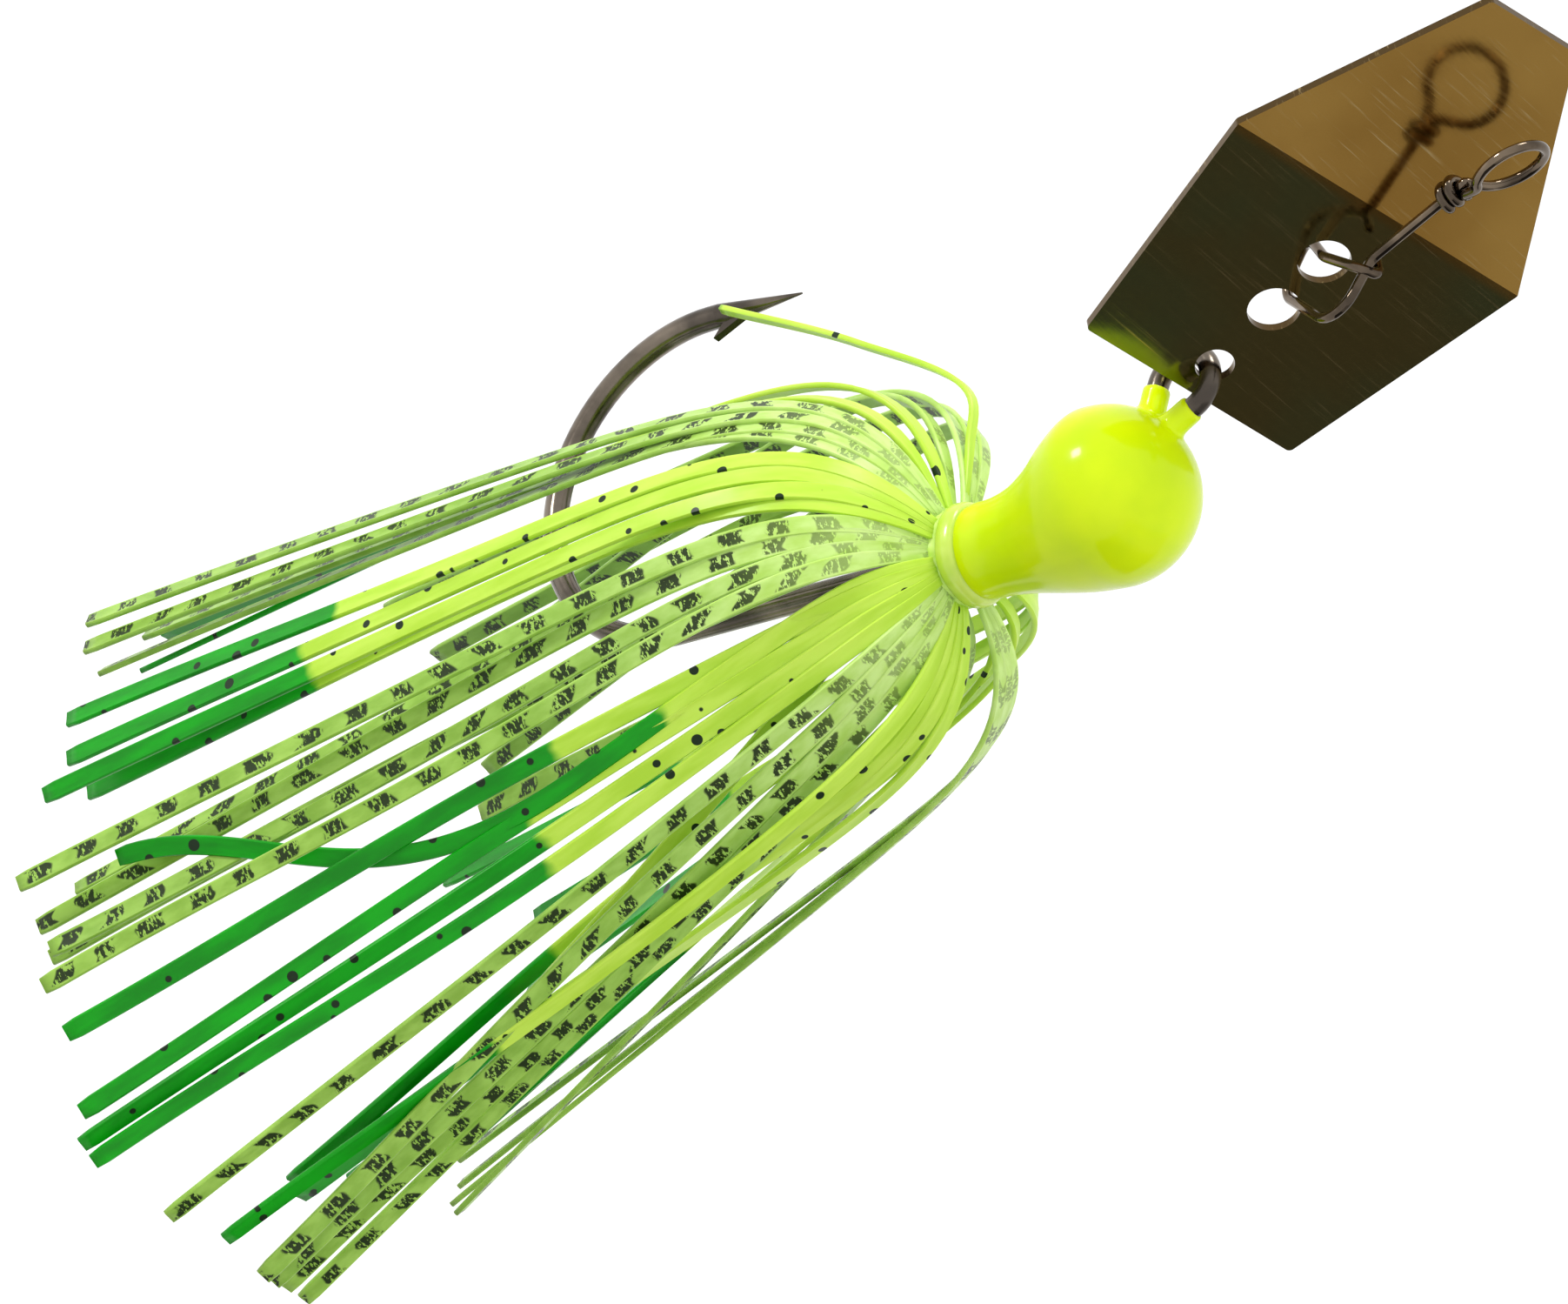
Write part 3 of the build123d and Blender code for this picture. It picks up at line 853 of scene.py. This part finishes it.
# ---------------------------------------------------------------- skirt roots and band
ROOTS_PROFILE = [
    # along the seat's axis from the collar, and radius
    (1.1, 2.1), (1.05, 2.55), (0.85, 2.8), (0.4, 2.95),
    (-0.2, 2.95), (-0.7, 2.7), (-0.9, 2.4), (-1.0, 2.0),
]
FOLDS = [
    # height as a share of the radius, number round the hub, and where they start in degrees
    (0.012, 9, 0),
    (0.006, 23, 40),
]
BAND_FOLDS = [(0.012, 5, 0)]
BAND_ALONG, BAND_R = 1.5, 2.7
BAND_HALF_WIDTH, BAND_BULGE = 0.66, 0.4
BAND_STEPS = 14
PATTERN_R = 5                           # the circle that the roots' pattern runs round
PATTERN_SEED = 3


def turned_ring(name, profile, folds, sides=96):
    """A surface turned round the seat's axis, with soft folds, and coordinates for the tab pattern."""
    bm = bmesh.new()
    strip = bm.verts.layers.float_vector.new("strip")
    rings = []
    run = 0.0
    for i, (along, radius) in enumerate(profile):
        if i:
            run += math.dist(profile[i - 1], profile[i])
        ring = []
        for k in range(sides):
            azimuth = 360 * k / sides
            angle = math.radians(azimuth)
            size = 1.0
            for height, count, start in folds:
                size += height * math.sin(math.radians(azimuth * count + start))
            v = bm.verts.new(collar + (round_hub(azimuth) * radius * size + forward * along) * MM)
            round_way = Vector((math.cos(angle), math.sin(angle), 0)) * PATTERN_R
            v[strip] = round_way + Vector((0, run, PATTERN_SEED))
            ring.append(v)
        rings.append(ring)
    return skin(name, bm, rings)


def make_roots():
    """The uncut tabs behind the band."""
    roots = turned_ring("tab_roots", ROOTS_PROFILE, FOLDS)
    finish_with(roots, tab_finish)
    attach(roots, "jig")
    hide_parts("skirt_hub")


def make_band():
    profile = []
    for k in range(BAND_STEPS + 1):
        angle = math.pi * k / BAND_STEPS
        along = BAND_ALONG + math.cos(angle) * BAND_HALF_WIDTH
        profile.append((along, BAND_R + math.sin(angle) * BAND_BULGE))
    band = turned_ring("skirt_collar", profile, BAND_FOLDS)
    finish_with(band, band_finish)
    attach(band, "jig")
    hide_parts("skirt_band")


# ---------------------------------------------------------------- lead head
BALL_R = 5.3
BALL_POLE, BALL_STOPS = 0.05, 1.7       # the ball's first and last rings, in radians from its pole
BALL_RINGS = 10
NECK = [
    # (forward, pointward, radius) of the head's rings behind the ball, in millimetres
    (-2.2, -0.4, 4.75),
    (-3.8, -0.95, 3.95),
    (-5.6, -1.3, 3.25),
    (-7.4, -1.4, 2.88),
    (-8.9, -1.4, 2.8),
    (-9.5, -1.4, 2.55),
    (-9.8, -1.4, 2.0),
]
NECK_STEPS = 6
SEAT = [
    # (forward, radius) of the skirt's seat and its keeper
    (-9.0, 1.9),
    (-12.0, 1.9),
    (-13.0, 1.9),
    (-13.6, 2.35),
    (-14.0, 2.2),
]
EYE_RING_AT = (4.59, 6.11)              # the hook's eye, forward and pointward of the ball
EYE_RING_R = 1.9
EYE_FOOT = (-0.4, -1.3)                 # on the shank's axis, where the eye's legs head
EYE_LEG_CROSSING = 4.6                  # from the eye's centre
SLEEVE_R = 0.82
SLEEVE_FROM, SLEEVE_TO = 0.15, 2.9      # down each leg, from where it leaves the eye's ring
SLEEVE_STEP = 0.15
FLARE, FLARE_FROM, FLARE_POWER = 0.5, 0.35, 1.6
PAINT_VOXEL = 0.13
SOFTEN_ROUNDS = 14


def eye_legs():
    """Where the two legs of the hook's eye leave its ring, and where they cross, in the hook's plane."""
    centre = Vector(EYE_RING_AT)
    down = (Vector(EYE_FOOT) - centre).normalized()
    aside = Vector((-down.y, down.x))
    turn = math.acos(EYE_RING_R / EYE_LEG_CROSSING)
    tops = []
    for sign in (-1, 1):
        tops.append(centre + (down * math.cos(turn) + aside * math.sin(turn) * sign) * EYE_RING_R)
    return tops, centre + down * EYE_LEG_CROSSING


def stacked(name, stations, sides=96):
    """A closed shape of parallel round sections. A station is (along, out, radius) on the jig."""
    bm = bmesh.new()
    rings = []
    for along, out, radius in stations:
        centre = on_jig(along, out)
        ring = []
        for k in range(sides):
            angle = 2 * math.pi * k / sides
            arm = pointward * math.cos(angle) + side * math.sin(angle)
            ring.append(bm.verts.new(centre + arm * radius * MM))
        rings.append(ring)
    return skin(name, bm, rings)


def sleeve_radius(share):
    return (SLEEVE_R + FLARE * max(0.0, share - FLARE_FROM) ** FLARE_POWER) * MM


def seat_radius(share):
    return SEAT[round(share * (len(SEAT) - 1))][1] * MM


def make_head():
    """The ball, its neck and the paint up the eye's legs, run together as one thick coat."""
    stations = []
    for k in range(BALL_RINGS):
        angle = BALL_POLE + (BALL_STOPS - BALL_POLE) * k / (BALL_RINGS - 1)
        stations.append(Vector((BALL_R * math.cos(angle), 0, BALL_R * math.sin(angle))))
    stations += [Vector(station) for station in NECK]
    things = [stacked("head_body", spline(stations, NECK_STEPS))]
    tops, crossing = eye_legs()
    for i, top in enumerate(tops):
        down = (crossing - top).normalized()
        ends = [on_jig(*(top + down * SLEEVE_FROM)), on_jig(*(top + down * SLEEVE_TO))]
        things.append(tube(f"sleeve_{i}", spaced(ends, SLEEVE_STEP * MM), sleeve_radius, sides=32))
    seat = [on_jig(along, SEAT_AXIS) for along, _ in SEAT]
    things.append(tube("seat", seat, seat_radius, sides=48))
    head = joined("painted_head", things)
    remesh = head.modifiers.new("remesh", "REMESH")
    remesh.mode = "VOXEL"
    remesh.voxel_size = PAINT_VOXEL * MM
    soften = head.modifiers.new("soften", "SMOOTH")
    soften.factor = 0.5
    soften.iterations = SOFTEN_ROUNDS
    apply_modifiers(head)
    head.data.shade_smooth()
    finish_with(head, paint_finish)
    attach(head, "jig")
    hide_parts("lead_head")


# ---------------------------------------------------------------- CAD pieces that stay
finish_with(frame["nodes"]["blade"], blade_plating_and_shade)
finish_with(frame["nodes"]["hook"], hook_finish)

make_snap()
make_head()
make_skirt()
make_loose_strand()
make_roots()
make_band()


# ---------------------------------------------------------------- stage and light
FLOOR_BELOW, FLOOR_SIZE = 0.22, 12      # metres
FLOOR_TONE = 0.93
SKY = [
    # the world's strength rises with the height of the direction
    ("From Min", -0.8),
    ("From Max", 0.1),
    ("To Min", 0.25),
    ("To Max", 1.12),
]
MIRROR_CARDS = [
    # name, direction from the bridge, height in metres, tone
    ("dark", (0.85, 0.42, -0.33), 0.42, 0.09),
    ("bronze", (0.90, 0.41, 0.12), 0.24, 0.55),
]
CARD_FAR, CARD_WIDTH = 0.5, 0.62        # metres
LIGHT_FAR = 0.7                         # metres


def plain(name, tone):
    """Matt grey for the stage."""
    n = Nodes(name)
    n.fixed(Base_Color=(tone, tone, tone, 1), Roughness=1.0, Specular_IOR_Level=0.0)
    return n.material


def card(name, centre, facing, width, height, material):
    """A flat staged card that faces a point."""
    bm = bmesh.new()
    bmesh.ops.create_grid(bm, x_segments=1, y_segments=1, size=0.5)
    thing = new_object(name, bm)
    thing.matrix_world = (
        Matrix.Translation(centre)
        @ (facing - centre).to_track_quat("Z", "Y").to_matrix().to_4x4()
        @ Matrix.Diagonal((width, height, 1, 1))
    )
    finish_with(thing, material)
    return thing


def make_floor():
    centre = Vector((0, 0, cad_low.z - FLOOR_BELOW))
    white = plain("floor_white", FLOOR_TONE)
    floor = card("floor", centre, centre - DOWN, FLOOR_SIZE, FLOOR_SIZE, white)
    floor.visible_diffuse = False


def make_world():
    """White from every side, and dimmer from below."""
    world = bpy.data.worlds.new("studio")
    world.use_nodes = True
    tree = world.node_tree
    coords = tree.nodes.new("ShaderNodeTexCoord")
    split = tree.nodes.new("ShaderNodeSeparateXYZ")
    height = tree.nodes.new("ShaderNodeMapRange")
    height.interpolation_type = "SMOOTHSTEP"
    for socket, value in SKY:
        height.inputs[socket].default_value = value
    tree.links.new(coords.outputs["Generated"], split.inputs[0])
    tree.links.new(split.outputs["Z"], height.inputs["Value"])
    tree.links.new(height.outputs["Result"], tree.nodes["Background"].inputs["Strength"])
    tree.nodes["Background"].inputs["Color"].default_value = (1, 1, 1, 1)
    bpy.context.scene.world = world


def make_mirror_cards():
    """Cards that only gloss sees, where the photo's blade looks."""
    for name, way, tall, tone in MIRROR_CARDS:
        centre = bridge + Vector(way).normalized() * CARD_FAR
        grey = plain(f"card_{name}", tone)
        thing = card(f"{name}_card", centre, bridge, CARD_WIDTH, tall, grey)
        thing.visible_camera = False
        thing.visible_diffuse = False
        thing.visible_shadow = False
        thing.visible_transmission = False


def area_light(name, way, size, watts):
    """A square light that faces the head."""
    data = bpy.data.lights.new(name, "AREA")
    data.shape = "SQUARE"
    data.size = size
    data.energy = watts
    lamp = bpy.data.objects.new(name, data)
    place = ball + way.normalized() * LIGHT_FAR
    turn = (place - ball).to_track_quat("Z", "Y").to_matrix().to_4x4()
    lamp.matrix_world = Matrix.Translation(place) @ turn
    bpy.context.scene.collection.objects.link(lamp)
    lamp.visible_camera = False


make_floor()
make_world()
make_mirror_cards()
area_light("key", Vector((-0.50, -0.86, 0.04)), size=0.12, watts=1.7)
area_light("top", Vector((-0.61, -0.23, 0.76)), size=0.2, watts=1.6)
